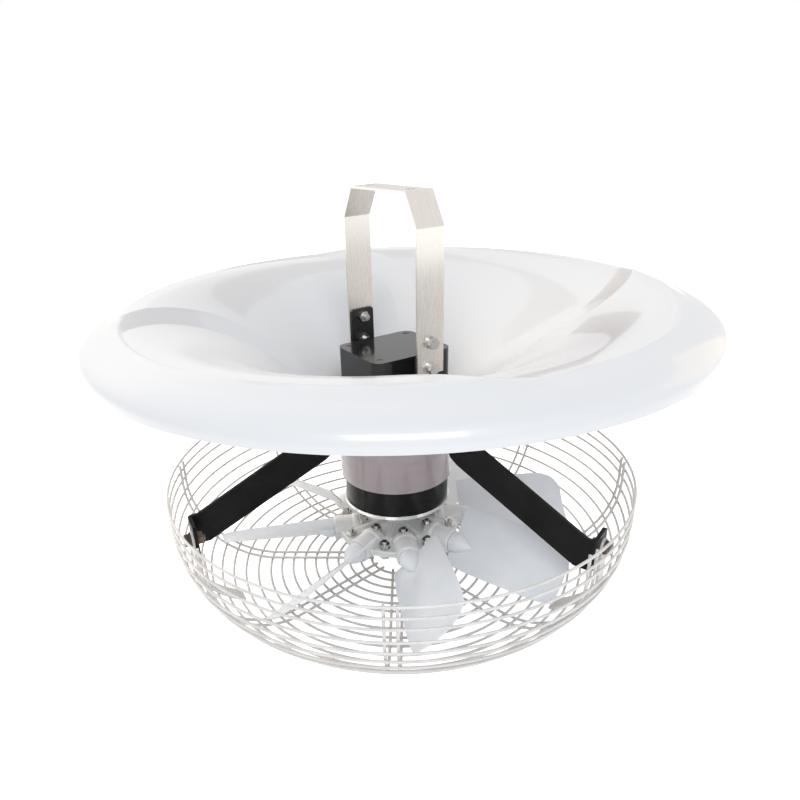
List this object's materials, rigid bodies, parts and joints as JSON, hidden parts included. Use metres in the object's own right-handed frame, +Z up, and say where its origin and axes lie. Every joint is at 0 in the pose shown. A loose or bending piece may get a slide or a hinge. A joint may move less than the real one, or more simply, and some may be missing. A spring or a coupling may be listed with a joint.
{
  "type": "ceiling air circulator fan",
  "caption": "Ceiling-hung air circulator: a caged axial fan under an outer-rotor motor blows up against a wide spiral deflector dish with a bent hanger.",
  "frame": {"origin": "centre of the guard's floor, at the lowest wires", "axes": "+Z up along the motor's axis; the hanger's two legs stand in the YZ plane; -Y is the side with the nearer leg in the picture"},
  "size_m": [0.807, 0.807, 0.5576],
  "materials": {
    "brushed_stainless": "brushed along the strip",
    "black_paint": "satin black paint",
    "black_satin": "satin black paint",
    "black_gloss": "moulded gloss black",
    "black_gloss_metal": "gloss black paint",
    "black_plastic": "moulded matt black",
    "ivory_plastic": "moulded ivory",
    "bright_bolts": "stainless, turned",
    "dark_bolts": "blackened steel with worn edges",
    "bearing_steel": "ground and polished",
    "laminated_steel": "stacked sheet edges",
    "copper_wire": "enamelled copper wire",
    "magnet": "sintered, grey",
    "shaft_steel": "ground steel",
    "turned_aluminium": "turned, bright",
    "white_gloss": "moulded gloss white",
    "white_casting": "white paint on a casting",
    "white_blade": "white paint, fine texture",
    "white_coating": "white dip coating"
  },
  "bodies": {
    "frame": {"hanger_bracket": "brushed_stainless", "motor_yoke": "black_paint", "hanger_bolts": "bright_bolts", "hanger_spring_washers": "bright_bolts", "hanger_washers": "bright_bolts", "hanger_nuts": "bright_bolts", "junction_box": "black_gloss", "junction_box_lid": "black_gloss", "box_lid_screws": "dark_bolts", "terminal_block": "ivory_plastic", "cable_gland": "black_plastic", "gland_nut": "black_plastic", "yoke_screws": "bright_bolts", "motor_flange": "black_paint", "bearing_outer_rings": "bearing_steel", "bearing_balls": "bearing_steel", "stator_core": "laminated_steel", "stator_windings": "copper_wire", "deflector_dish": "white_gloss", "arm_1": "black_satin", "arm_2": "black_satin", "arm_3": "black_satin", "arm_root_bolts": "dark_bolts", "guard_wall_rings": "white_coating", "guard_floor_rings": "white_coating", "guard_ribs": "white_coating", "guard_lugs": "white_coating", "guard_bolts": "dark_bolts", "guard_washers": "dark_bolts", "guard_nuts": "dark_bolts"},
    "rotor": {"rotor_can": "black_gloss_metal", "rotor_rim_ring": "turned_aluminium", "rotor_magnets": "magnet", "motor_shaft": "shaft_steel", "bearing_inner_rings": "bearing_steel", "hub_upper_half": "white_casting", "hub_lower_half": "white_casting", "hub_bolts": "bright_bolts", "hub_nuts": "bright_bolts", "hub_washers": "bright_bolts", "shaft_key": "shaft_steel", "shaft_washer": "bright_bolts", "shaft_nut": "bright_bolts", "blade_1": "white_blade", "blade_2": "white_blade", "blade_3": "white_blade", "blade_4": "white_blade", "blade_5": "white_blade", "blade_6": "white_blade", "blade_7": "white_blade", "blade_8": "white_blade"}
  },
  "joints": [
    {"name": "rotor_spin", "type": "hinge", "parent": "frame", "child": "rotor", "pos_m": [0, 0, 0.07], "axis": [0, 0, 1], "continuous": true}
  ]
}
